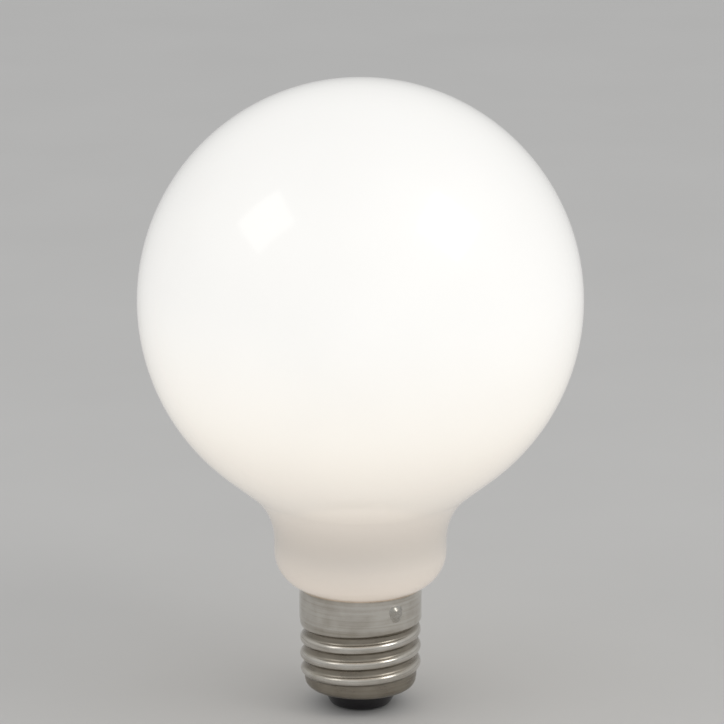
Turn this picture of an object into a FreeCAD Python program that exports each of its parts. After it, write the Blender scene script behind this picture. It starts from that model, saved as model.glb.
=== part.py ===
# Globe bulb: an opal glass globe cemented into a rolled metal screw cap.
#
# Millimetres, +Z up. The origin is on the axis, in the plane of the centre contact's outer face,
# so the cap points down and the globe stands above it. Every piece is round about that axis, apart
# from the thread and the solder spot on the rim.
#
# The skill is in the cap. It is drawn from one sheet of brass, and its thread is rolled through
# that sheet. The same threaded form is therefore made twice, the second time set in by the sheet's
# thickness, and the smaller form is cut out of the larger one. The wall is as thick on the crests
# as it is in the roots.
import FreeCAD, Part
import math
import os
import Sketcher

# Driving sizes, each one written once
SIZES = {
    # Glass envelope
    "globe_diameter": 95.0,
    "taper_length": 7.7,
    "shoulder_radius": 14.6,
    "neck_diameter": 37.2,
    "neck_straight": 2.3,
    "neck_end_radius": 8.1,
    "stem_depth": 9.0,
    "stem_taper": 2.5,
    # Screw cap
    "cap_height": 27.0,
    "sheet": 0.3,
    "thread_diameter": 26.15,
    "thread_depth": 1.05,
    "thread_pitch": 3.629,
    "thread_lead_in": 2.2,
    "foot_bevel": 1.8,
    "foot_hole": 17.4,
    "collar_height": 7.0,
    "collar_step": 0.15,
    "rim_height": 1.2,
    "rim_flare": 0.25,
    # Insulator and contact
    "insulator_height": 4.2,
    "insulator_tip": 12.8,
    "contact_diameter": 10.0,
    "contact_sheet": 0.5,
    "contact_proud": 0.3,
    "eyelet_diameter": 3.0,
    "eyelet_wall": 0.3,
    "eyelet_length": 2.2,
    "dish_diameter": 5.2,
    "dish_depth": 0.35,
    # Solder and cement
    "solder_length": 1.4,
    "solder_margin": 0.4,
    "spot_radius": 2.2,
    "spot_rise": 0.8,
    "spot_drop": 1.9,
    "spot_angle": -55.0,
    # Clearances
    "seat_gap": 0.1,
    "stem_clearance": 0.4,
    "cement_clearance": 0.2,
}

# How far a cutting form runs past the piece that it cuts, and a thread's root into its core
PAST = 1.0
BITE = 0.15
# Half the turn of a corner of 45 degrees: it keeps a wall even through that corner
MITRE = math.tan(math.pi / 8)


class Length:
    """A length in mm together with the sheet expression that gives it."""

    def __init__(self, value, text):
        self.value = value
        self.text = text

    def joined(self, sign, other, value):
        text = other.text if isinstance(other, Length) else str(other)
        return Length(value, f"({self.text} {sign} {text})")

    def __add__(self, other):
        return self.joined("+", other, self.value + number(other))

    def __sub__(self, other):
        return self.joined("-", other, self.value - number(other))

    def __mul__(self, other):
        return self.joined("*", other, self.value * number(other))

    def __truediv__(self, other):
        return self.joined("/", other, self.value / number(other))


def number(item):
    return item.value if isinstance(item, Length) else item


def size(name):
    """One cell of the sheet, as a length to calculate with."""
    return Length(SIZES[name], f"Sizes.{name}")


# On the axis, or level with the contact's face
ZERO = Length(0.0, "0")


# The document and its sheet of sizes


def make_sheet(doc):
    sheet = doc.addObject("Spreadsheet::Sheet", "Sizes")
    for row, (name, value) in enumerate(SIZES.items(), start=1):
        sheet.set(f"A{row}", name)
        sheet.set(f"B{row}", str(value))
        sheet.setAlias(f"B{row}", name)
    doc.recompute()
    return sheet


# Sketches of half sections: radius along the sketch's X, height along its Y


def new_body(doc, label):
    body = doc.addObject("PartDesign::Body", label)
    body.Label = label
    return body


def new_section(body, name):
    """A sketch on the body's own upright XZ plane."""
    sketch = body.newObject("Sketcher::SketchObject", name)
    plane = next(item for item in body.Origin.OriginFeatures if item.Role == "XZ_Plane")
    sketch.AttachmentSupport = [(plane, "")]
    sketch.MapMode = "FlatFace"
    return sketch


def dimension(sketch, kind, refs, length):
    """Adds a dimension and binds it to the sheet."""
    index = sketch.addConstraint(Sketcher.Constraint(kind, *refs, length.value))
    sketch.setExpression(f"Constraints[{index}]", length.text)


def put(sketch, edge, end, axis, length):
    """Places one coordinate of an edge's end, on a section's axis or at a length from it."""
    if length is ZERO:
        line = -2 if axis == "X" else -1
        sketch.addConstraint(Sketcher.Constraint("PointOnObject", edge, end, line))
    else:
        dimension(sketch, f"Distance{axis}", (-1, 1, edge, end), length)


def draw_loop(sketch, corners):
    """Draws a closed outline of straight lines through the corners, each a pair of lengths."""
    count = len(corners)
    points = [FreeCAD.Vector(number(x), number(y), 0) for x, y in corners]
    for index, point in enumerate(points):
        sketch.addGeometry(Part.LineSegment(point, points[(index + 1) % count]))
    for index in range(count):
        refs = (index, 2, (index + 1) % count, 1)
        sketch.addConstraint(Sketcher.Constraint("Coincident", *refs))
    for index, (x, y) in enumerate(corners):
        last_x, last_y = corners[index - 1]
        if index and x is not ZERO and x.text == last_x.text:
            sketch.addConstraint(Sketcher.Constraint("Vertical", index - 1))
        else:
            put(sketch, index, 1, "X", x)
        if index and y is not ZERO and y.text == last_y.text:
            sketch.addConstraint(Sketcher.Constraint("Horizontal", index - 1))
        else:
            put(sketch, index, 1, "Y", y)


def turn(body, kind, name, sketch):
    """Turns a section about the axis, as a Revolution or as a Groove."""
    feature = body.newObject(f"PartDesign::{kind}", name)
    feature.Profile = sketch
    feature.ReferenceAxis = (sketch, ["V_Axis"])
    feature.Angle = 360
    return feature


# Heights and radii that more than one piece seats on

CORE_RADIUS = size("thread_diameter") / 2 - size("thread_depth")
CREST_RADIUS = size("thread_diameter") / 2
COLLAR_RADIUS = CREST_RADIUS + size("collar_step")
RIM_RADIUS = COLLAR_RADIUS + size("rim_flare")
STEM_RADIUS = CORE_RADIUS - size("sheet") - size("stem_clearance")
FOOT = size("insulator_height")
FOOT_TOP = FOOT + size("foot_bevel")
RIM = size("cap_height")
COLLAR = RIM - size("collar_height")
SHOULDER = COLLAR - (COLLAR_RADIUS - CORE_RADIUS)


# Glass envelope


def make_glass(doc):
    """Sealed opal envelope, blown in one piece.

    Ball, taper, hollow shoulder, straight neck and rounded neck end follow each other tangentially.
    The neck end seats on the cap's rim, and the sealed stem goes down into the cap.
    """
    body = new_body(doc, "glass_globe")
    sketch = new_section(body, "EnvelopeSection")
    ball = size("globe_diameter") / 2
    taper = size("taper_length")
    shoulder = size("shoulder_radius")
    neck = size("neck_diameter") / 2
    straight = size("neck_straight")
    neck_end = size("neck_end_radius")
    stem_end = RIM - size("stem_depth")
    stem_taper = size("stem_taper")
    seat_radius = RIM_RADIUS - size("sheet")
    seat_height = RIM + size("seat_gap")

    # First positions, from the seat on the rim up to the ball
    bend_x = neck.value - neck_end.value
    bend_y = seat_height.value + math.sqrt(neck_end.value**2 - (seat_radius.value - bend_x) ** 2)
    stem_angle = math.acos((STEM_RADIUS.value - bend_x) / neck_end.value)
    stem_top = bend_y - neck_end.value * math.sin(stem_angle)
    neck_top = bend_y + straight.value
    hollow_x = neck.value + shoulder.value
    radii = ball.value + shoulder.value
    slope = math.acos(hollow_x / math.hypot(radii, taper.value)) - math.atan2(taper.value, radii)
    down = FreeCAD.Vector(-math.sin(slope), -math.cos(slope), 0)
    outward = FreeCAD.Vector(math.cos(slope), -math.sin(slope), 0)
    centre_y = neck_top + radii * math.sin(slope) + taper.value * math.cos(slope)
    taper_top = FreeCAD.Vector(0, centre_y, 0) + outward * ball.value
    taper_foot = taper_top + down * taper.value

    def arc(x, y, radius, first, last):
        circle = Part.Circle(FreeCAD.Vector(x, y, 0), FreeCAD.Vector(0, 0, 1), radius)
        return sketch.addGeometry(Part.ArcOfCircle(circle, first, last))

    def line(start, end):
        return sketch.addGeometry(Part.LineSegment(FreeCAD.Vector(*start), FreeCAD.Vector(*end)))

    stem = STEM_RADIUS.value
    tip = stem - stem_taper.value
    bottom = stem_end.value
    ball_arc = arc(0, centre_y, ball.value, -slope, math.pi / 2)
    taper_line = line(taper_top, taper_foot)
    hollow_arc = arc(hollow_x, neck_top, shoulder.value, math.pi - slope, math.pi)
    neck_line = line((neck.value, neck_top, 0), (neck.value, bend_y, 0))
    end_arc = arc(bend_x, bend_y, neck_end.value, -stem_angle, 0)
    stem_line = line((stem, stem_top, 0), (stem, bottom + stem_taper.value, 0))
    tip_line = line((stem, bottom + stem_taper.value, 0), (tip, bottom, 0))
    bottom_line = line((tip, bottom, 0), (0, bottom, 0))
    axis_line = line((0, bottom, 0), (0, centre_y + ball.value, 0))
    seat_point = Part.Point(FreeCAD.Vector(seat_radius.value, seat_height.value, 0))
    seat = sketch.addGeometry(seat_point, True)

    # Smooth joints from the crown down to the neck end, and plain corners from there on
    for refs in (
        (ball_arc, 1, taper_line, 1),
        (taper_line, 2, hollow_arc, 1),
        (hollow_arc, 2, neck_line, 1),
        (neck_line, 2, end_arc, 2),
    ):
        sketch.addConstraint(Sketcher.Constraint("Tangent", *refs))
    for refs in (
        (end_arc, 1, stem_line, 1),
        (stem_line, 2, tip_line, 1),
        (tip_line, 2, bottom_line, 1),
        (bottom_line, 2, axis_line, 1),
        (axis_line, 2, ball_arc, 2),
    ):
        sketch.addConstraint(Sketcher.Constraint("Coincident", *refs))
    for edge, end in ((ball_arc, 2), (ball_arc, 3), (bottom_line, 2)):
        sketch.addConstraint(Sketcher.Constraint("PointOnObject", edge, end, -2))
    sketch.addConstraint(Sketcher.Constraint("PointOnObject", seat, 1, end_arc))
    sketch.addConstraint(Sketcher.Constraint("Horizontal", bottom_line))
    sketch.addConstraint(Sketcher.Constraint("Vertical", neck_line))
    sketch.addConstraint(Sketcher.Constraint("Vertical", stem_line))

    dimension(sketch, "Radius", (ball_arc,), ball)
    dimension(sketch, "Radius", (hollow_arc,), shoulder)
    dimension(sketch, "Radius", (end_arc,), neck_end)
    dimension(sketch, "Distance", (taper_line,), taper)
    dimension(sketch, "DistanceY", (neck_line, 2, neck_line, 1), straight)
    dimension(sketch, "DistanceX", (tip_line, 2, tip_line, 1), stem_taper)
    dimension(sketch, "DistanceY", (tip_line, 2, tip_line, 1), stem_taper)
    put(sketch, neck_line, 1, "X", neck)
    put(sketch, stem_line, 1, "X", STEM_RADIUS)
    put(sketch, bottom_line, 1, "Y", stem_end)
    put(sketch, seat, 1, "X", seat_radius)
    put(sketch, seat, 1, "Y", seat_height)
    turn(body, "Revolution", "Envelope", sketch)
    return body


# Screw cap


def make_threaded_form(doc, label, inset, hole=None):
    """The cap's form as a filled body, set in by a wall: the blank, its thread and its turned foot.

    The thread starts below the foot and ends inside the collar, so the foot's cut makes it run out
    along a cone, as it does where it was rolled.
    """
    body = new_body(doc, label)
    core = CORE_RADIUS - inset
    crest = CREST_RADIUS - inset
    collar = COLLAR_RADIUS - inset
    rim = RIM_RADIUS - inset
    mitre = inset * MITRE
    below = FOOT - size("thread_pitch")
    top = RIM + (PAST if hole else 0)

    blank = new_section(body, f"{label}_blank")
    corners = [
        (ZERO, below),
        (core, below),
        (core, SHOULDER + mitre),
        (collar, COLLAR + mitre),
        (collar, RIM - size("rim_height")),
        (rim, RIM),
    ]
    if hole:
        corners.append((rim, top))
    corners.append((ZERO, top))
    draw_loop(blank, corners)
    turn(body, "Revolution", f"{label}_core", blank)

    # The crest is as wide as the root, with flanks of 45 degrees between them
    flat = (size("thread_pitch") / 2 - size("thread_depth")) / 2 - mitre
    base = flat + size("thread_depth") + BITE
    start = FOOT - size("thread_pitch") / 2
    crest_section = new_section(body, f"{label}_crest")
    draw_loop(
        crest_section,
        [
            (core - BITE, start - base),
            (crest, start - flat),
            (crest, start + flat),
            (core - BITE, start + base),
        ],
    )
    thread = body.newObject("PartDesign::AdditiveHelix", f"{label}_thread")
    thread.Profile = crest_section
    thread.ReferenceAxis = (crest_section, ["V_Axis"])
    thread.Mode = 0
    thread.Angle = 0
    thread.Growth = 0
    thread.setExpression("Pitch", size("thread_pitch").text)
    thread.setExpression("Height", (COLLAR + base - start).text)

    turned_foot = FOOT + inset
    out = crest + size("thread_depth")
    foot = new_section(body, f"{label}_foot")
    draw_loop(
        foot,
        [
            (ZERO, turned_foot),
            (CORE_RADIUS - size("foot_bevel") - mitre, turned_foot),
            (core, FOOT_TOP + mitre),
            (out, FOOT_TOP + mitre + size("thread_lead_in") * 2),
            (out, below - PAST),
            (ZERO, below - PAST),
        ],
    )
    turn(body, "Groove", f"{label}_turning", foot)
    if hole:
        opening = new_section(body, f"{label}_hole")
        draw_loop(
            opening,
            [
                (ZERO, FOOT - PAST),
                (hole, FOOT - PAST),
                (hole, FOOT_TOP),
                (ZERO, FOOT_TOP),
            ],
        )
        turn(body, "Revolution", f"{label}_opening", opening)
    return body


def make_cap(doc):
    """Rolled brass shell: foot with its hole, thread, shoulder, plain collar and flared rim."""
    outside = make_threaded_form(doc, "cap_outside", ZERO)
    inside = make_threaded_form(doc, "cap_inside", size("sheet"), size("foot_hole") / 2)
    shell = doc.addObject("Part::Cut", "screw_cap")
    shell.Label = "screw_cap"
    shell.Base = outside
    shell.Tool = inside
    return shell


# Insulator, contact and solder


def make_insulator(doc):
    """Black glass run into the shell's foot. It holds the contact and keeps it off the shell."""
    body = new_body(doc, "cap_insulator")
    hole = size("eyelet_diameter") / 2
    contact = size("contact_diameter") / 2
    through = size("foot_hole") / 2
    recess = size("contact_sheet")
    face = size("contact_proud")
    sheet = size("sheet")
    mitre = sheet * MITRE
    sketch = new_section(body, "InsulatorSection")
    draw_loop(
        sketch,
        [
            (hole, recess),
            (contact, recess),
            (contact, face),
            (size("insulator_tip") / 2, face),
            (through, FOOT),
            (through, FOOT + sheet),
            (CORE_RADIUS - size("foot_bevel") - mitre, FOOT + sheet),
            (CORE_RADIUS - sheet, FOOT_TOP + mitre),
            (hole, FOOT_TOP + mitre),
        ],
    )
    turn(body, "Revolution", "Insulator", sketch)
    return body


def make_contact(doc):
    """Brass eyelet: a disc with a dish round its hole, and a shank up into the insulator."""
    body = new_body(doc, "centre_contact")
    disc = size("contact_diameter") / 2
    shank = size("eyelet_diameter") / 2
    bore = shank - size("eyelet_wall")
    sketch = new_section(body, "ContactSection")
    draw_loop(
        sketch,
        [
            (size("dish_diameter") / 2, ZERO),
            (disc, ZERO),
            (disc, size("contact_sheet")),
            (shank, size("contact_sheet")),
            (shank, size("eyelet_length")),
            (bore, size("eyelet_length")),
            (bore, size("dish_depth")),
        ],
    )
    turn(body, "Revolution", "Contact", sketch)
    return body


def make_contact_solder(doc):
    """Solder that closes the eyelet round the lead and stands level with the contact's face."""
    body = new_body(doc, "contact_solder")
    bore = size("eyelet_diameter") / 2 - size("eyelet_wall")
    dish = size("dish_diameter") / 2
    margin = size("solder_margin")
    edge = margin * size("dish_depth") / (dish - bore)
    sketch = new_section(body, "SolderSection")
    draw_loop(
        sketch,
        [
            (ZERO, ZERO),
            (dish - margin, edge),
            (bore, size("dish_depth")),
            (bore, size("solder_length")),
            (ZERO, size("solder_length")),
        ],
    )
    turn(body, "Revolution", "Solder", sketch)
    return body


def make_rim_solder(doc):
    """Solder spot on the collar below the rim, where the side lead is joined to the shell."""
    blob = doc.addObject("Part::Sphere", "spot_blob")
    blob.setExpression("Radius", size("spot_radius").text)
    sunk = COLLAR_RADIUS + size("spot_rise") - size("spot_radius")
    height = RIM - size("rim_height") - size("spot_drop")
    blob.setExpression("Placement.Base.x", sunk.text)
    blob.setExpression("Placement.Base.z", height.text)
    seat = doc.addObject("Part::Cylinder", "spot_seat")
    seat.setExpression("Radius", COLLAR_RADIUS.text)
    seat.setExpression("Height", RIM.text)
    spot = doc.addObject("Part::Cut", "rim_solder")
    spot.Label = "rim_solder"
    spot.Base = blob
    spot.Tool = seat
    spot.setExpression("Placement.Rotation.Angle", size("spot_angle").text)
    return spot


def make_cement(doc):
    """Basing cement that fills the collar round the glass stem."""
    body = new_body(doc, "cement_ring")
    outer = COLLAR_RADIUS - size("sheet")
    low = COLLAR + size("sheet") * MITRE
    high = RIM - size("rim_height") - size("cement_clearance")
    sketch = new_section(body, "CementSection")
    draw_loop(sketch, [(STEM_RADIUS, low), (outer, low), (outer, high), (STEM_RADIUS, high)])
    turn(body, "Revolution", "Cement", sketch)
    return body


# Check and export


def check(doc, parts):
    for item in doc.Objects:
        if "Invalid" in item.State or "Error" in item.State:
            raise RuntimeError(f"{item.Label} failed: {item.State}")
    for item in parts:
        if item.Shape.isNull() or not item.Shape.isValid() or len(item.Shape.Solids) != 1:
            raise RuntimeError(f"{item.Label} is not one valid solid")


def main():
    doc = FreeCAD.newDocument("GlobeBulb")
    make_sheet(doc)
    parts = [
        make_glass(doc),
        make_cap(doc),
        make_insulator(doc),
        make_contact(doc),
        make_contact_solder(doc),
        make_rim_solder(doc),
        make_cement(doc),
    ]
    doc.recompute()
    check(doc, parts)
    os.makedirs("parts", exist_ok=True)
    for item in parts:
        item.Shape.exportStep(f"parts/{item.Label}.step")
        box = item.Shape.BoundBox
        print(f"{item.Label}: z {box.ZMin:.2f} to {box.ZMax:.2f}, volume {item.Shape.Volume:.1f}")


main()
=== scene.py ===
# %% [markdown]
# # A globe bulb, step by step
#
# The object is a large opal bulb with a screw cap. Its shape is turned from end to end, so nearly
# every piece here starts as half a section that is spun round the upright axis. The construction
# model gives the places and sizes. This file gives the pieces their true curves and their finishes.

# %% Load the frame
import math

import bpy
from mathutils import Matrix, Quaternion, Vector


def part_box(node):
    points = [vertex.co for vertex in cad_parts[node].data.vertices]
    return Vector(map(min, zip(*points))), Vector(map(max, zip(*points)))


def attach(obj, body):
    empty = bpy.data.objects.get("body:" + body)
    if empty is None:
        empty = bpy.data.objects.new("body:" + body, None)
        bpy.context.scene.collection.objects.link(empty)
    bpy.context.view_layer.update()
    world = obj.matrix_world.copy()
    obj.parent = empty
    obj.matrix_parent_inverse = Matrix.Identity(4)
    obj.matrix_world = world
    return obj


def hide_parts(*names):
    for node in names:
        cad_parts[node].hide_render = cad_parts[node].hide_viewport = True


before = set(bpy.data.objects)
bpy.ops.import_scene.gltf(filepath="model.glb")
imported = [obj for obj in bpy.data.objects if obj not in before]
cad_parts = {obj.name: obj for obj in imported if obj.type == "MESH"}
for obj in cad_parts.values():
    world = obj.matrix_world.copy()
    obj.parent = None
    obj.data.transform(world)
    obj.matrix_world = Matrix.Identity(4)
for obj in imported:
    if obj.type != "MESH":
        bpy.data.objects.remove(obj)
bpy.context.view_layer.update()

# Lengths are written in millimetres here, and times MM they are Blender's metres
MM = 0.001
for node in sorted(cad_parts):
    low, high = ([round(v / MM, 2) for v in corner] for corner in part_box(node))
    print(node, "from", low, "to", high, "mm")

# %% [markdown]
# ## The view
#
# The bulb is seen from slightly above by a long lens a metre away, so the ball stays a true circle
# and the neck keeps its width. A camera could be placed by eye, but a turned shape gives few marks
# to line up. Here the distance, the height and the lens come from a fit of the outline, and the
# camera then simply looks at a point beside the axis, a little below the ball's centre.

# %% Camera
globe_low, globe_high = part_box("glass_globe")
BALL = (globe_high[0] - globe_low[0]) / 2 / MM
BALL_HEIGHT = globe_high[2] / MM - BALL
VIEW_DISTANCE = 1000.0
VIEW_RISE = math.radians(14.43)
PIXELS_ACROSS = 724
FOCAL_PIXELS = 4704.9
SENSOR = 36
AIM_RIGHT = 0.34
AIM_BELOW = 13.5
AIM = Vector((AIM_RIGHT, 0, BALL_HEIGHT - AIM_BELOW)) * MM


def point_at(thing, target, roll=0.0):
    """Turns a camera or a lamp towards a target, and then round its own line of sight."""
    facing = (Vector(target) - thing.location).to_track_quat("-Z", "Y")
    thing.rotation_euler = (facing @ Quaternion((0, 0, 1), math.radians(roll))).to_euler()


bpy.ops.object.select_all(action="DESELECT")
bpy.ops.object.camera_add(
    location=(
        0,
        -VIEW_DISTANCE * MM * math.cos(VIEW_RISE),
        (BALL_HEIGHT + VIEW_DISTANCE * math.sin(VIEW_RISE)) * MM,
    )
)
camera = bpy.context.object
camera.name = "camera"
camera.data.sensor_width = SENSOR
camera.data.lens = FOCAL_PIXELS * SENSOR / PIXELS_ACROSS
camera.data.clip_end = 50
point_at(camera, AIM)
bpy.context.scene.camera = camera
print("lens", round(camera.data.lens, 1), "mm, ball centre", round(BALL_HEIGHT, 2), "mm up")

# %% [markdown]
# ## Colours and nodes
#
# Colours are written as on a paint card, in sRGB hex, but the sockets of a material want linear
# light, so one function converts them all. A second one adds a node, sets its fields and inputs,
# and links what feeds it. With these two a material reads as a short list.

# %% Helpers for colours and nodes
def paint(card):
    """The linear colour of an sRGB hex value such as #d8d6d2."""
    parts = [int(card[place : place + 2], 16) / 255 for place in (1, 3, 5)]
    return [p / 12.92 if p <= 0.04045 else ((p + 0.055) / 1.055) ** 2.4 for p in parts] + [1.0]


def add(tree, kind, inputs=None, **fields):
    """One node with its fields set and its inputs filled: a socket is linked, a value is set."""
    node = tree.nodes.new(f"ShaderNode{kind}")
    for name, value in fields.items():
        setattr(node, name, value)
    for name, value in (inputs or {}).items():
        if isinstance(value, bpy.types.NodeSocket):
            tree.links.new(value, node.inputs[name])
        else:
            node.inputs[name].default_value = value
    return node


def start_finish(name, centre=(0, 0, 0)):
    """A new material, its shader, and object coordinates in mm counted from the centre."""
    finish = bpy.data.materials.new(name)
    finish.use_nodes = True
    tree = finish.node_tree
    shader = tree.nodes["Principled BSDF"]
    place = add(tree, "TexCoord").outputs["Object"]
    shift = [-c for c in centre]
    mapped = add(tree, "Mapping", {"Vector": place, "Scale": (1 / MM,) * 3, "Location": shift})
    return finish, tree, shader, mapped.outputs["Vector"]


print("white card", [round(c, 3) for c in paint("#ffffff")])

# %% [markdown]
# ## Floor and light
#
# The real set has two square soft lamps, one high on each side, and they show as two soft squares
# on the glass. A picture of a studio could light the bulb as well, but with two area lamps each
# square can be moved to its place. Everything else is a pale room, a little brighter in front, at
# a level where a colour comes out about as it is written. The room has two brightnesses: what
# lights the bulb, and what the eye and the metal see.

# %% Floor
bpy.ops.mesh.primitive_plane_add(size=12)
floor = bpy.context.object
floor.name = "floor"
floor_finish, tree, shader, place = start_finish("matt_floor_card")
# Faint blotches, about 60 mm wide, keep the card from looking like a flat fill
blotches = add(tree, "TexNoise", {"Vector": place, "Scale": 1 / 60, "Detail": 3})
card = add(
    tree,
    "Mix",
    {0: blotches.outputs["Fac"], 6: paint("#c1c0bd"), 7: paint("#c7c6c3")},
    data_type="RGBA",
)
tree.links.new(card.outputs[2], shader.inputs["Base Color"])
shader.inputs["Roughness"].default_value = 0.7
floor.data.materials.append(floor_finish)
print("floor", [round(v, 2) for v in floor.dimensions])

# %% Room: what the eye and the metal see
room = bpy.data.worlds.new("pale_room")
room.use_nodes = True
bpy.context.scene.world = room
tree = room.node_tree
tree.nodes.clear()
path = add(tree, "LightPath")
seen = add(
    tree,
    "Math",
    {0: path.outputs["Is Camera Ray"], 1: path.outputs["Is Glossy Ray"]},
    operation="MAXIMUM",
)
seen = add(
    tree,
    "Math",
    {0: seen.outputs[0], 1: path.outputs["Is Transmission Ray"]},
    operation="MAXIMUM",
)
# About the floor's own grey at the horizon, and lighter overhead
around = add(tree, "TexCoord").outputs["Generated"]
look = add(tree, "SeparateXYZ", {0: around}).outputs["Z"]
overhead = add(
    tree, "MapRange", {"Value": look, "From Max": 0.8}, interpolation_type="SMOOTHSTEP"
)
backdrop = add(
    tree,
    "Mix",
    {0: overhead.outputs[0], 6: paint("#b2b2b1"), 7: paint("#dadad8")},
    data_type="RGBA",
)
print(room.name, len(tree.nodes), "nodes for what is seen")

# %% Room: what lights the bulb
# The direction of the brighter side: the front, a little to the right and up
FRONT = (0.3, -0.92, 0.25)
LIGHT_BEHIND = 0.6
LIGHT_IN_FRONT = 0.96

ahead = add(tree, "VectorMath", {0: around, 1: FRONT}, operation="DOT_PRODUCT")
light = add(
    tree,
    "MapRange",
    {
        "Value": ahead.outputs["Value"],
        "From Min": -1.0,
        "To Min": LIGHT_BEHIND,
        "To Max": LIGHT_IN_FRONT,
    },
)
lit = add(tree, "Background", {"Color": paint("#f6f7fa"), "Strength": light.outputs[0]})
shown = add(tree, "Background", {"Color": backdrop.outputs[2], "Strength": 1.0})
both = add(
    tree,
    "MixShader",
    {0: seen.outputs[0], 1: lit.outputs[0], 2: shown.outputs[0]},
)
add(tree, "OutputWorld", {"Surface": both.outputs[0]})
print("room light", LIGHT_BEHIND, "behind,", LIGHT_IN_FRONT, "in front")


# %% Soft lamps
# In metres, as the lamps' sizes are
LAMP_DISTANCE = 0.95


def soft_lamp(name, side, rise, roll, size, brightness):
    """A square lamp aimed at the ball, in degrees beside the camera and in degrees above level."""
    turn, up = math.radians(side), math.radians(rise)
    bpy.ops.object.select_all(action="DESELECT")
    bpy.ops.object.light_add(
        type="AREA",
        location=(
            LAMP_DISTANCE * math.cos(up) * math.sin(turn),
            -LAMP_DISTANCE * math.cos(up) * math.cos(turn),
            LAMP_DISTANCE * math.sin(up) + BALL_HEIGHT * MM,
        ),
    )
    lamp = bpy.context.object
    lamp.name = name
    lamp.data.shape = "SQUARE"
    lamp.data.size = size
    lamp.data.energy = brightness * math.pi * size * size
    lamp.data.color = paint("#fffdfa")[:3]
    point_at(lamp, (0, 0, BALL_HEIGHT * MM), roll)
    print(name, round(lamp.data.energy, 2), "W")


soft_lamp("left_soft_lamp", side=-68, rise=42, roll=-18, size=0.37, brightness=1.0)
soft_lamp("right_soft_lamp", side=62.5, rise=42, roll=23, size=0.385, brightness=2.7)

# %% [markdown]
# ## A pen for turned pieces
#
# A turned piece is one half section and one spin. The section could be typed in as a long list of
# points, but then nobody sees the arcs in it. So it is drawn as on paper: a single point is
# extruded for each straight line and spun round a centre for each arc. Every radius stays a plain
# number, and neighbours meet smoothly because their centres say so.

# %% The pen
# Points closer than a thousandth of a millimetre are one, and edges from 32 degrees on stay sharp
SAME_POINT = 1e-6
SHARP_FROM = 32


class Pen:
    """Draws half a section in the XZ plane, in mm, and turns it round the upright axis."""

    def __init__(self, name, x, z):
        bpy.ops.object.select_all(action="DESELECT")
        bpy.ops.mesh.primitive_plane_add(size=MM)
        self.piece = bpy.context.object
        self.piece.name = name
        bpy.ops.object.mode_set(mode="EDIT")
        bpy.ops.mesh.select_mode(type="VERT")
        bpy.ops.mesh.select_all(action="SELECT")
        bpy.ops.mesh.merge(type="CENTER")
        bpy.ops.transform.translate(value=(x * MM, 0, z * MM))
        self.x, self.z = x, z

    def line(self, x, z, steps=1):
        """A straight line to a point, in one or more equal steps."""
        step = ((x - self.x) / steps * MM, 0, (z - self.z) / steps * MM)
        for _ in range(steps):
            bpy.ops.mesh.extrude_region_move(TRANSFORM_OT_translate={"value": step})
        self.x, self.z = x, z

    def arc(self, centre_x, centre_z, degrees, steps):
        """An arc round a centre. Degrees count against the clock as seen from the front."""
        bpy.ops.mesh.spin(
            steps=steps,
            angle=math.radians(degrees),
            center=(centre_x * MM, 0, centre_z * MM),
            axis=(0, 1, 0),
        )
        turn = math.radians(degrees)
        dx, dz = self.x - centre_x, self.z - centre_z
        self.x = centre_x + dx * math.cos(turn) - dz * math.sin(turn)
        self.z = centre_z + dx * math.sin(turn) + dz * math.cos(turn)

    def turn(self, steps):
        """Spins the section right round, closes its poles and faces it outwards."""
        bpy.ops.mesh.select_all(action="SELECT")
        bpy.ops.mesh.spin(steps=steps, angle=2 * math.pi, center=(0, 0, 0), axis=(0, 0, 1))
        bpy.ops.mesh.select_all(action="SELECT")
        bpy.ops.mesh.remove_doubles(threshold=SAME_POINT)
        bpy.ops.mesh.normals_make_consistent(inside=False)
        bpy.ops.object.mode_set(mode="OBJECT")
        bpy.ops.object.shade_smooth_by_angle(angle=math.radians(SHARP_FROM))
        count = len(self.piece.data.polygons)
        print(self.piece.name, count, "faces,", [round(v / MM, 2) for v in self.piece.dimensions])
        return self.piece


print("the pen keeps edges of", SHARP_FROM, "degrees and more sharp")

# %% [markdown]
# ## The envelope
#
# The glass is blown in one piece: a ball, a short straight taper, a hollow shoulder, a neck and a
# rounded end that sits on the cap. Each part runs smoothly into the next, and that flow is what
# makes the shape read as blown glass. A scaled sphere on a cylinder would show a crease at the
# shoulder, so the section is drawn with its real tangent arcs.

# %% Draw and spin the envelope
TAPER = 7.7
SHOULDER = 14.6
NECK = 18.6
NECK_STRAIGHT = 2.3
NECK_END = 8.1
STEM = 11.325
STEM_FOOT = 18.0
STEM_CHAMFER = 2.5

# The taper's slope follows from the shoulder's arc, which has to meet both taper and neck smoothly
reach = BALL + SHOULDER
hollow_x = NECK + SHOULDER
slope = math.acos(hollow_x / math.hypot(reach, TAPER)) - math.atan2(TAPER, reach)
taper_x = BALL * math.cos(slope) - TAPER * math.sin(slope)
taper_z = BALL_HEIGHT - BALL * math.sin(slope) - TAPER * math.cos(slope)
neck_top = taper_z - SHOULDER * math.sin(slope)
neck_foot = neck_top - NECK_STRAIGHT
end_x = NECK - NECK_END
end_turn = math.degrees(math.acos((STEM - end_x) / NECK_END))

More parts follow.
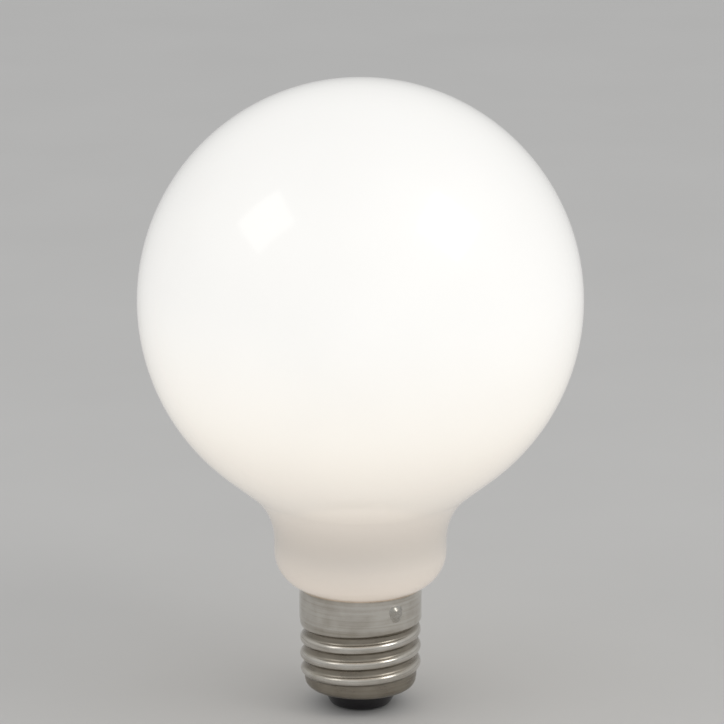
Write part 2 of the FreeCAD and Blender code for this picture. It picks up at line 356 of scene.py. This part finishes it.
pen = Pen("opal_envelope", 0, BALL_HEIGHT + BALL)
pen.arc(0, BALL_HEIGHT, -90 - math.degrees(slope), 84)
pen.line(taper_x, taper_z, 5)
pen.arc(hollow_x, neck_top, math.degrees(slope), 20)
pen.line(NECK, neck_foot, 2)
pen.arc(end_x, neck_foot, -end_turn, 26)
pen.line(STEM, STEM_FOOT + STEM_CHAMFER, 2)
pen.line(STEM - STEM_CHAMFER, STEM_FOOT)
pen.line(0, STEM_FOOT)
envelope = pen.turn(200)
print("the neck starts", round(neck_top, 2), "mm up and ends", round(neck_foot, 2), "mm up")

# %% [markdown]
# ### Opal glass, blown, and lit from inside
#
# Opal glass is soda-lime glass with a milky layer that spreads the light. Its surface is fire
# polished, so it mirrors the lamps as two pale squares, while the light from inside washes out
# most of the shading. The light is strongest in the ball and fades into the neck, where it also
# turns warmer. A lamp inside a thin milky shell would be the real way, but the envelope is one
# closed piece here, and a plain white would look like plaster. So the glow is part of the
# material and follows the height on the piece.

# %% Opal glass: how the light fades with height
opal, tree, shader, place = start_finish("opal_glass_blown", (0, 0, BALL_HEIGHT))
height = add(tree, "SeparateXYZ", {0: place}).outputs["Z"]
# Counted in mm from the ball's centre, the glow fades slowly down the lower ball and faster over
# the shoulder to the neck. It is also dimmed towards the crown, which the lamps above light most,
# and raised on the lower ball, which they light least: painted shade and painted light
belly = add(
    tree,
    "MapRange",
    {"Value": height, "From Min": -40.0, "From Max": -16.0},
    interpolation_type="SMOOTHSTEP",
).outputs[0]
shoulder = add(
    tree,
    "MapRange",
    {"Value": height, "From Min": -53.0, "From Max": -36.0},
    interpolation_type="SMOOTHSTEP",
).outputs[0]
rise = add(tree, "Mix", {0: 0.26, 2: shoulder, 3: belly}).outputs[0]
# Painted shade at the crown and painted light on the lower ball, evening out the lamps from above
crown_painted_shade_and_light = add(
    tree,
    "MapRange",
    {"Value": height, "From Min": -24.0, "From Max": 62.0, "To Min": 1.14, "To Max": 0.86},
    interpolation_type="SMOOTHSTEP",
).outputs[0]
shoulder_ends = [round(z - BALL_HEIGHT, 1) for z in (taper_z, neck_top)]
print("the shoulder runs from", shoulder_ends[0], "to", shoulder_ends[1], "mm")

# %% Opal glass: the milky layer and the colour of its light
# The milky layer is never quite even: soft clouds about 30 mm wide
clouds = add(tree, "TexNoise", {"Vector": place, "Scale": 1 / 30, "Detail": 2}).outputs["Fac"]
# Painted light: the neck's body colour is lighter and warmer, carrying the glow that is weak there
body_colour_painted_glow = add(
    tree, "Mix", {0: rise, 6: paint("#dfd8ce"), 7: paint("#b5b5b3")}, data_type="RGBA"
)
tree.links.new(body_colour_painted_glow.outputs[2], shader.inputs["Base Color"])
# The light turns creamy below the middle of the ball, and warmer again in the neck
cream = add(
    tree,
    "MapRange",
    {"Value": height, "From Min": -30.0, "From Max": 10.0},
    interpolation_type="SMOOTHSTEP",
).outputs[0]
ball_glow = add(
    tree, "Mix", {0: cream, 6: paint("#fff7ea"), 7: paint("#fffdf9")}, data_type="RGBA"
)
glow_colour = add(
    tree,
    "Mix",
    {0: rise, 6: paint("#ffecdb"), 7: ball_glow.outputs[2]},
    data_type="RGBA",
)
tree.links.new(glow_colour.outputs[2], shader.inputs["Emission Color"])
print(opal.name, len(tree.nodes), "nodes with its colours")

# %% Opal glass: the strength of its light
level = add(tree, "MapRange", {"Value": rise, "To Min": 0.08, "To Max": 0.61}).outputs[0]
haze = add(
    tree,
    "MapRange",
    {"Value": clouds, "From Min": 0.3, "From Max": 0.7, "To Min": 0.98, "To Max": 1.02},
).outputs[0]
glow = add(tree, "Math", {0: level, 1: haze}, operation="MULTIPLY").outputs[0]
# The glow takes the painted shade at the crown and the painted light on the lower ball
glow = add(tree, "Math", {0: glow, 1: crown_painted_shade_and_light}, operation="MULTIPLY").outputs[0]
# Painted light: the neck's end is made to glow more, standing in for light that the cap throws back
neck_end_painted_light = add(
    tree,
    "MapRange",
    {"Value": height, "From Min": -64.0, "From Max": -52.0, "To Min": 0.25, "To Max": 0.0},
    interpolation_type="SMOOTHSTEP",
).outputs[0]
glow = add(tree, "Math", {0: glow, 1: neck_end_painted_light}, operation="ADD").outputs[0]
tree.links.new(glow, shader.inputs["Emission Strength"])
print(opal.name, len(tree.nodes), "nodes with its glow")

# %% Opal glass: the polish over it
# The milky layer scatters the lamps into a broad soft sheen, and the fire polish over it mirrors
# them with nearly sharp edges. The sheen is a little uneven, in patches about 12 mm wide
patches = add(tree, "TexNoise", {"Vector": place, "Scale": 1 / 12, "Detail": 3}).outputs["Fac"]
sheen = add(tree, "MapRange", {"Value": patches, "To Min": 0.38, "To Max": 0.5}).outputs[0]
tree.links.new(sheen, shader.inputs["Roughness"])
shader.inputs["Coat Weight"].default_value = 1.0
shader.inputs["Coat Roughness"].default_value = 0.1
shader.inputs["Coat IOR"].default_value = 1.52
# Blown glass is gently wavy: swells 20 mm wide and a few hundredths of a millimetre high
swell = add(tree, "TexNoise", {"Vector": place, "Scale": 1 / 20, "Detail": 1}).outputs["Fac"]
wave = add(tree, "Bump", {"Height": swell, "Strength": 1.0, "Distance": 0.03 * MM})
tree.links.new(wave.outputs[0], shader.inputs["Normal"])
tree.links.new(wave.outputs[0], shader.inputs["Coat Normal"])
shader.inputs["IOR"].default_value = 1.45
envelope.data.materials.append(opal)
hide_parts("glass_globe")
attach(envelope, "root")
print(opal.name, len(tree.nodes), "nodes")

# %% [markdown]
# ## The screw cap
#
# The cap is one sheet of brass, drawn to a cup and rolled. Its thread is a round wave: crest and
# root are arcs of the same radius that meet halfway up the flank. One pitch of that wave is drawn
# with the pen and carried round and up by the Screw modifier, which gives a true helix. The ends
# are then eased out as the rolling tool leaves them, and foot and collar are drawn on from the
# cut edges. A stack of rings would be quicker, but its lines wouldn't rise.

# %% One pitch of the thread
CORE = 12.025
DEPTH = 1.05
PITCH = 3.629
COLLAR_SIDE = 13.225
RIM_SIDE = 13.475
FOOT = 4.2
FOOT_BEND = 1.8
FOOT_HOLE = 8.7
COLLAR = 20.0
RIM_START = 25.8
RIM = 27.0
SHEET = 0.3
TURNS = 6
STEPS_ROUND = 120

first_crest = FOOT - PITCH / 2
quarter = PITCH / 4
wave_radius = (quarter**2 + (DEPTH / 2) ** 2) / DEPTH
wave_turn = 2 * math.degrees(math.asin(quarter / wave_radius))
pen = Pen("threaded_shell", CORE + DEPTH / 2, first_crest - quarter)
pen.arc(CORE + DEPTH - wave_radius, first_crest, wave_turn, 12)
pen.arc(CORE + wave_radius, first_crest + 2 * quarter, -wave_turn, 12)
bpy.ops.object.mode_set(mode="OBJECT")
shell = pen.piece
print("arcs of", round(wave_radius, 3), "mm, pitch ends at", round(pen.z, 3), "mm")

# %% Carry it round and up
bpy.ops.object.modifier_add(type="SCREW")
screw = shell.modifiers[-1]
screw.axis = "Z"
screw.screw_offset = PITCH * MM
screw.iterations = TURNS
screw.steps = screw.render_steps = STEPS_ROUND
screw.use_merge_vertices = True
screw.merge_threshold = SAME_POINT
bpy.ops.object.modifier_apply(modifier=screw.name)
print("helix", len(shell.data.polygons), "faces")


# %% Ease the ends of the thread and cut them level
FOOT_TOP = FOOT + FOOT_BEND
# The heights in mm between which each change happens
ROLLED_IN = (6.1, 8.6)
RISE_TO_COLLAR = (18.2, 19.9)
TRUE_COLLAR = (19.6, 20.0)
TRUE_FOOT = (6.0, 6.3)
BLEND = 0.25


def ease(value, start, end):
    """0 before the start, 1 after the end, and a smooth rise between."""
    share = min(max((value - start) / (end - start), 0.0), 1.0)
    return share * share * (3 - 2 * share)


# The thread grows out of the foot and sinks into the slope up to the collar, with a soft blend
# where the two cross. At both cuts the ring is brought to its true radius.
for vertex in shell.data.vertices:
    side = math.hypot(vertex.co.x, vertex.co.y) / MM
    up = vertex.co.z / MM
    rolled = CORE + (side - CORE) * ease(up, *ROLLED_IN)
    seat = CORE + (COLLAR_SIDE - CORE) * ease(up, *RISE_TO_COLLAR)
    share = min(max(0.5 + 0.5 * (rolled - seat) / BLEND, 0.0), 1.0)
    wanted = seat + (rolled - seat) * share + BLEND * share * (1 - share)
    wanted += (COLLAR_SIDE - wanted) * ease(up, *TRUE_COLLAR)
    wanted += (CORE - wanted) * (1 - ease(up, *TRUE_FOOT))
    vertex.co.x *= wanted / side
    vertex.co.y *= wanted / side

bpy.ops.object.mode_set(mode="EDIT")
for level_mm, keep_above in ((FOOT_TOP, True), (COLLAR, False)):
    bpy.ops.mesh.select_all(action="SELECT")
    bpy.ops.mesh.bisect(
        plane_co=(0, 0, level_mm * MM),
        plane_no=(0, 0, 1),
        threshold=1e-7,
        clear_inner=keep_above,
        clear_outer=not keep_above,
    )
print("thread cut at", FOOT_TOP, "and", COLLAR, "mm")


# %% Draw the collar, the rim and the foot from the cut edges
# A point this near to a height, in mm, counts as being on it
LEVEL = 0.001
HOLD = 0.4
RIM_STEPS = 6
BEND_STEPS = 10
SHELL_SHARP_FROM = 35


def take_ring(piece, height_mm):
    """Selects the open edge at one height, in edit mode."""
    bpy.ops.mesh.select_mode(type="VERT")
    bpy.ops.mesh.select_all(action="DESELECT")
    bpy.ops.object.mode_set(mode="OBJECT")
    for vertex in piece.data.vertices:
        vertex.select = abs(vertex.co.z / MM - height_mm) < LEVEL
    bpy.ops.object.mode_set(mode="EDIT")
    bpy.ops.mesh.select_mode(type="EDGE")


def draw_ring(side, rise, from_side):
    """Extrudes the selected ring by a rise and brings it to a new radius."""
    bpy.ops.mesh.extrude_region_move(TRANSFORM_OT_translate={"value": (0, 0, rise * MM)})
    bpy.ops.transform.resize(
        value=(side / from_side, side / from_side, 1), center_override=(0, 0, 0)
    )


# A narrow ring at each end of the straight collar holds its shading flat
take_ring(shell, COLLAR)
for lift in (HOLD, RIM_START - 2 * HOLD - COLLAR, HOLD):
    draw_ring(COLLAR_SIDE, lift, COLLAR_SIDE)
side = COLLAR_SIDE
for step in range(1, RIM_STEPS + 1):
    wider = COLLAR_SIDE + (RIM_SIDE - COLLAR_SIDE) * (step / RIM_STEPS) ** 2
    draw_ring(wider, (RIM - RIM_START) / RIM_STEPS, side)
    side = wider

take_ring(shell, FOOT_TOP)
side, last = CORE, 0.0
for step in range(1, BEND_STEPS + 1):
    angle = math.radians(90 / BEND_STEPS * step)
    narrower = CORE - FOOT_BEND * (1 - math.cos(angle))
    draw_ring(narrower, -FOOT_BEND * (math.sin(angle) - last), side)
    side, last = narrower, math.sin(angle)
draw_ring(FOOT_HOLE, 0, side)
bpy.ops.mesh.select_all(action="SELECT")
bpy.ops.mesh.remove_doubles(threshold=SAME_POINT)
bpy.ops.mesh.normals_make_consistent(inside=False)
bpy.ops.object.mode_set(mode="OBJECT")
bpy.ops.object.modifier_add(type="SOLIDIFY")
wall = shell.modifiers[-1]
wall.thickness = SHEET * MM
wall.offset = -1
wall.use_even_offset = True
bpy.ops.object.modifier_apply(modifier=wall.name)
bpy.ops.object.shade_smooth_by_angle(angle=math.radians(SHELL_SHARP_FROM))
print(shell.name, len(shell.data.polygons), "faces", [round(v / MM, 2) for v in shell.dimensions])

# %% [markdown]
# ### Nickel-plated brass, drawn and rolled
#
# A thin bright plate over brass: a warm grey mirror that the rolling has left satin. The crests
# are polished by the tool and the roots stay dull, and the sheet keeps faint lines round the
# axis. An anisotropic shine could stand for the lines, but drawn as stretched noise they also
# carry the tarnish. The radius at each point tells crest from root, so the polish follows the
# thread from every side.

# %% Nickel-plated brass: its colour
nickel, tree, shader, place = start_finish("nickel_plated_brass_rolled")
axes = add(tree, "SeparateXYZ", {0: place})
flat = add(tree, "CombineXYZ", {0: axes.outputs["X"], 1: axes.outputs["Y"]})
radius = add(tree, "VectorMath", {0: flat.outputs[0]}, operation="LENGTH").outputs["Value"]
crest = add(
    tree,
    "MapRange",
    {"Value": radius, "From Min": CORE, "From Max": CORE + DEPTH},
    interpolation_type="SMOOTHSTEP",
).outputs[0]
# Tarnish and handling in soft patches about 5 mm wide
smudge = add(tree, "TexNoise", {"Vector": place, "Scale": 1 / 5, "Detail": 4}).outputs["Fac"]
# Lines round the axis, about half a millimetre apart, which is coarser than the real ones
along = add(tree, "Mapping", {"Vector": place, "Scale": (0.04, 0.04, 2.0)}).outputs[0]
lines = add(tree, "TexNoise", {"Vector": along, "Scale": 1.0, "Detail": 3}).outputs["Fac"]
# The colour is darker towards the roots and lighter towards the crests
tone = add(tree, "Mix", {0: crest, 6: paint("#8c857a"), 7: paint("#d6d2cb")}, data_type="RGBA")
# Tarnish gathers in the lines as well as in the patches
marked = add(tree, "Math", {0: lines, 1: 0.8, 2: smudge}, operation="MULTIPLY_ADD").outputs[0]
tarnish = add(
    tree, "MapRange", {"Value": marked, "From Min": 0.75, "From Max": 1.25, "To Max": 0.8}
).outputs[0]
dulled = add(
    tree,
    "Mix",
    {0: tarnish, 6: tone.outputs[2], 7: paint("#aaa397")},
    data_type="RGBA",
)
tree.links.new(dulled.outputs[2], shader.inputs["Base Color"])
print("root at", CORE, "mm and crest at", round(CORE + DEPTH, 3), "mm from the axis")

# %% Nickel-plated brass: its polish
satin = add(tree, "MapRange", {"Value": crest, "To Min": 0.32, "To Max": 0.17}).outputs[0]
worn = add(tree, "MapRange", {"Value": tarnish, "To Min": -0.05, "To Max": 0.12}).outputs[0]
rough = add(tree, "Math", {0: satin, 1: worn}, operation="ADD").outputs[0]
tree.links.new(rough, shader.inputs["Roughness"])
scored = add(tree, "Bump", {"Height": lines, "Strength": 1.0, "Distance": 0.022 * MM})
tree.links.new(scored.outputs[0], shader.inputs["Normal"])
shader.inputs["Metallic"].default_value = 1.0
shell.data.materials.append(nickel)
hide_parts("screw_cap")
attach(shell, "root")
print(nickel.name, len(tree.nodes), "nodes")

# %% [markdown]
# ## The insulator
#
# Black glass is poured into the cap's foot and pressed, and it holds the contact clear of the
# shell. Pressed glass has no sharp edges: the face turns into the cone with a small round. A cone
# with a bevel would show the same outside, but the glass also fills the foot and leaves a hole
# for the contact's tube. So the section is drawn as one closed loop, with the round in it.

# %% Draw and spin the insulator
EYELET = 1.5
CONTACT = 5.0
CONTACT_SHEET = 0.5
CONTACT_PROUD = 0.3
TIP = 6.4
TIP_ROUND = 0.8
# The glass starts beside the contact with a tiny chamfer, and fills most of the foot's bend
NICK = 0.05
FILLED_BEND = 80
GLASS_TOP = 6.12

lean = math.degrees(math.atan2(FOOT - CONTACT_PROUD, FOOT_HOLE - TIP))
setback = TIP_ROUND * math.tan(math.radians(lean / 2))
pen = Pen("black_glass_insulator", EYELET, CONTACT_SHEET)
pen.line(CONTACT, CONTACT_SHEET)
pen.line(CONTACT, CONTACT_PROUD + NICK)
pen.line(CONTACT + NICK, CONTACT_PROUD)
pen.line(TIP - setback, CONTACT_PROUD, 2)
pen.arc(TIP - setback, CONTACT_PROUD + TIP_ROUND, lean, 8)
pen.line(FOOT_HOLE, FOOT, 4)
pen.line(FOOT_HOLE, FOOT + SHEET)
pen.line(CORE - FOOT_BEND, FOOT + SHEET, 2)
pen.arc(CORE - FOOT_BEND, FOOT_TOP, FILLED_BEND, 6)
pen.line(pen.x, GLASS_TOP)
pen.line(EYELET, GLASS_TOP, 2)
pen.line(EYELET, CONTACT_SHEET, 2)
insulator = pen.turn(96)

# %% [markdown]
# ### Black glass, pressed
#
# Nearly black with a brown-violet cast, and shiny like a boot. The press leaves faint flow
# marks and a few small pits, which break up the highlight. A smooth black gloss would pass for
# plastic, so one noise drives both the colour and the polish, and small cells make the pits.

# %% Black glass
black, tree, shader, place = start_finish("black_glass_pressed")
flow = add(tree, "TexNoise", {"Vector": place, "Scale": 1 / 2.5, "Detail": 3, "Distortion": 1.2})
tint = add(
    tree,
    "Mix",
    {0: flow.outputs["Fac"], 6: paint("#0e0c0f"), 7: paint("#1d1a1e")},
    data_type="RGBA",
)
tree.links.new(tint.outputs[2], shader.inputs["Base Color"])
gloss = add(tree, "MapRange", {"Value": flow.outputs["Fac"], "To Min": 0.08, "To Max": 0.24})
tree.links.new(gloss.outputs[0], shader.inputs["Roughness"])
# Pits about 0.6 mm wide, a little larger than the real ones
pits = add(tree, "TexVoronoi", {"Vector": place, "Scale": 1 / 1.4}).outputs["Distance"]
hollow = add(tree, "MapRange", {"Value": pits, "From Min": 0.0, "From Max": 0.22}).outputs[0]
pitted = add(tree, "Bump", {"Height": hollow, "Strength": 0.6, "Distance": 0.05 * MM})
tree.links.new(pitted.outputs[0], shader.inputs["Normal"])
shader.inputs["IOR"].default_value = 1.52
insulator.data.materials.append(black)
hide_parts("cap_insulator")
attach(insulator, "root")
print(black.name, len(tree.nodes), "nodes")

# %% [markdown]
# ## The centre contact
#
# A brass disc with a short tube that goes up into the black glass, pressed from sheet. Its edge
# is rounded by the punch, and a shallow dish round the tube takes the solder. Disc and tube could
# be two joined cylinders, but the real one is a single sheet, and one turned section keeps it so.

# %% Draw and spin the contact
BORE = 1.2
DISH = 2.6
DISH_DEPTH = 0.35
# The dish ends in a lip that is eased a little on both sides
DISH_LIP = 0.03
LIP_INSIDE = 0.1
LIP_OUTSIDE = 0.15
EYELET_TOP = 2.2
EDGE = 0.2

pen = Pen("contact_disc", BORE, DISH_DEPTH)
pen.line(DISH - LIP_INSIDE, DISH_LIP, 3)
pen.line(DISH + LIP_OUTSIDE, 0)
pen.line(CONTACT - EDGE, 0, 3)
pen.arc(CONTACT - EDGE, EDGE, 90, 6)
pen.line(CONTACT, CONTACT_SHEET)
pen.line(EYELET, CONTACT_SHEET, 2)
pen.line(EYELET, EYELET_TOP)
pen.line(BORE, EYELET_TOP)
pen.line(BORE, DISH_DEPTH)
contact = pen.turn(96)

# %% [markdown]
# ### Tinned brass, punched
#
# The tin makes the brass a soft grey, with the yellow just coming through where the punch has
# rubbed it. It is duller than the cap, with small scratches in all directions. Each scratch could
# be drawn, but they are too many and too fine, so a small noise in the bump stands for them.

# %% Tinned brass
tinned, tree, shader, place = start_finish("tinned_brass_punched")
stain = add(tree, "TexNoise", {"Vector": place, "Scale": 1 / 2.2, "Detail": 4}).outputs["Fac"]
thin = add(tree, "MapRange", {"Value": stain, "From Min": 0.45, "From Max": 0.75}).outputs[0]
metal = add(tree, "Mix", {0: thin, 6: paint("#b8b4aa"), 7: paint("#b59f72")}, data_type="RGBA")
tree.links.new(metal.outputs[2], shader.inputs["Base Color"])
matt = add(tree, "MapRange", {"Value": stain, "To Min": 0.28, "To Max": 0.46}).outputs[0]
tree.links.new(matt, shader.inputs["Roughness"])
scratch = add(tree, "TexNoise", {"Vector": place, "Scale": 1 / 0.35, "Detail": 2}).outputs["Fac"]
marks = add(tree, "Bump", {"Height": scratch, "Strength": 0.5, "Distance": 0.015 * MM})
tree.links.new(marks.outputs[0], shader.inputs["Normal"])
shader.inputs["Metallic"].default_value = 1.0
contact.data.materials.append(tinned)
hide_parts("centre_contact")
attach(contact, "root")
print(tinned.name, len(tree.nodes), "nodes")

# %% [markdown]
# ## Solder
#
# Two joints are soldered: the centre lead in the contact's dish, and the side lead on the
# collar. Solder wets the metal, so it sets as a mound whose flank runs out in a hollow curve to
# a thin edge. A ball pushed into the collar would look like a pearl. Both joints are drawn with
# the pen and turned. The side joint is then laid on the collar, pulled down at its lower end,
# made a little uneven, and smoothed by subdivision.

# %% Centre joint
LEAD_END = 1.4

# A flat drop that curves up to a thin edge in the dish, and a plug that fills the bore above it
pen = Pen("centre_solder", 0, 0)
for out, up, steps in ((0.9, 0.01, 3), (1.5, 0.07, 2), (2.0, 0.2, 2), (2.2, 0.3, 1)):
    pen.line(out, up, steps)
pen.line(BORE, DISH_DEPTH)
pen.line(BORE, LEAD_END)
pen.line(0, LEAD_END)
centre_solder = pen.turn(64)

# %% Side joint: draw the mound
SPOT_ANGLE = -55.0
SPOT_HEIGHT = 23.9
SPOT_PROUD = 0.8
SPOT_SUNK = 0.25
SPOT_CROWN = 1.3
SPOT_HOLLOW = 1.6
# The angle in degrees at which the solder's edge meets the metal
WETTING = 12.0

wet = math.radians(WETTING)
drop = SPOT_PROUD + SPOT_HOLLOW * (1 - math.cos(wet))
steep = math.acos(1 - drop / (SPOT_CROWN + SPOT_HOLLOW))
hollow_side = (SPOT_CROWN + SPOT_HOLLOW) * math.sin(steep)
pen = Pen("side_solder", 0, SPOT_PROUD)
pen.arc(0, SPOT_PROUD - SPOT_CROWN, -math.degrees(steep), 7)
pen.arc(hollow_side, SPOT_HOLLOW * math.cos(wet), math.degrees(steep - wet), 7)
print("the solder's edge is", round(pen.x, 2), "mm out and", round(pen.z, 3), "mm up")
pen.line(pen.x, -SPOT_SUNK)
pen.line(0, -SPOT_SUNK, 3)
side_solder = pen.turn(36)

# %% Lay it on the collar and let it run
# The melt's run sets in between these depths in mm below the spot's middle
RUN = (-0.2, 1.7)
RUN_DOWN = 0.42
RUN_ASIDE = 0.2
SPREAD = 1.06
LOBES = 3
LOBE = 0.06
LOBE_TURN = 0.6
DIMPLES = 0.03
SOLDER_SHARP_FROM = 60

side_solder.rotation_euler = (0, math.radians(90), 0)
bpy.ops.object.transform_apply(location=False, rotation=True, scale=False)
# The melt ran down a little and to one side before it set, and its edge isn't quite round
for vertex in side_solder.data.vertices:
    below = ease(-vertex.co.z / MM, *RUN)
    vertex.co.z -= RUN_DOWN * below * MM
    vertex.co.y += RUN_ASIDE * below * MM
    bearing = math.atan2(vertex.co.z, vertex.co.y)
    spread = SPREAD + LOBE * math.sin(LOBES * bearing + LOBE_TURN)
    vertex.co.y *= spread
    vertex.co.z *= spread
bpy.ops.object.mode_set(mode="EDIT")
bpy.ops.mesh.select_all(action="SELECT")
bpy.ops.transform.vertex_random(offset=DIMPLES * MM, uniform=0.3, seed=6)
bpy.ops.mesh.vertices_smooth(factor=0.4, repeat=1)
bpy.ops.object.mode_set(mode="OBJECT")
# Bend it round the collar and bring it to its place
for vertex in side_solder.data.vertices:
    round_back = COLLAR_SIDE - math.sqrt(COLLAR_SIDE**2 - (vertex.co.y / MM) ** 2)
    vertex.co.x += (COLLAR_SIDE - round_back) * MM
    vertex.co.z += SPOT_HEIGHT * MM
side_solder.rotation_euler = (0, 0, math.radians(SPOT_ANGLE))
bpy.ops.object.transform_apply(location=False, rotation=True, scale=False)
bpy.ops.object.modifier_add(type="SUBSURF")
smooth = side_solder.modifiers[-1]
smooth.levels = smooth.render_levels = 1
bpy.ops.object.modifier_apply(modifier=smooth.name)
bpy.ops.object.shade_smooth_by_angle(angle=math.radians(SOLDER_SHARP_FROM))
print(side_solder.name, len(side_solder.data.polygons), "faces")

# %% [markdown]
# ### Tin solder, set from the melt
#
# Bright and a little frosty: the skin mirrors softly and has a fine grain where the metal
# crystallised. Old flux leaves a faint brown bloom here and there. A clean mirror would look
# wet, so one noise half a millimetre wide breaks up both the polish and the surface.

# %% Tin solder
solder, tree, shader, place = start_finish("tin_solder_set")
frost = add(tree, "TexNoise", {"Vector": place, "Scale": 1 / 0.5, "Detail": 4}).outputs["Fac"]
bloom = add(tree, "TexNoise", {"Vector": place, "Scale": 1 / 1.6, "Detail": 2}).outputs["Fac"]
tin = add(tree, "Mix", {0: bloom, 6: paint("#cfcecb"), 7: paint("#a8a296")}, data_type="RGBA")
tree.links.new(tin.outputs[2], shader.inputs["Base Color"])
skin = add(tree, "MapRange", {"Value": frost, "To Min": 0.16, "To Max": 0.38}).outputs[0]
tree.links.new(skin, shader.inputs["Roughness"])
grain = add(tree, "Bump", {"Height": frost, "Strength": 0.6, "Distance": 0.03 * MM})
tree.links.new(grain.outputs[0], shader.inputs["Normal"])
shader.inputs["Metallic"].default_value = 1.0
for joint, node in ((centre_solder, "contact_solder"), (side_solder, "rim_solder")):
    joint.data.materials.append(solder)
    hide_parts(node)
    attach(joint, "root")
print(solder.name, len(tree.nodes), "nodes")

# %% [markdown]
# ## The cement
#
# A ring of basing cement holds the glass in the collar. Its construction solid already has the
# right shape, and almost none of it shows, so it stays as it is and only gets its finish.
#
# ### Basing cement, baked
#
# Marble flour in resin: a dull cream, rough like fine mortar. Its grit could be modelled, but at
# this size it shows only as roughness, so the noise that colours it also gives it its height.

# %% Basing cement
cement, tree, shader, place = start_finish("basing_cement_baked")
sand = add(tree, "TexNoise", {"Vector": place, "Scale": 1 / 0.6, "Detail": 5}).outputs["Fac"]
mortar = add(tree, "Mix", {0: sand, 6: paint("#b9ad97"), 7: paint("#dcd3c1")}, data_type="RGBA")
tree.links.new(mortar.outputs[2], shader.inputs["Base Color"])
gritty = add(tree, "Bump", {"Height": sand, "Strength": 0.8, "Distance": 0.08 * MM})
tree.links.new(gritty.outputs[0], shader.inputs["Normal"])
shader.inputs["Roughness"].default_value = 0.88
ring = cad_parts["cement_ring"]
ring.data.materials.clear()
ring.data.materials.append(cement)
print(cement.name, "on", ring.name)

# %% [markdown]
# ## Close
#
# The picture uses the plain Standard transform, so that a colour stays what it is.

# %% Colour transform
bpy.context.scene.view_settings.view_transform = "Standard"
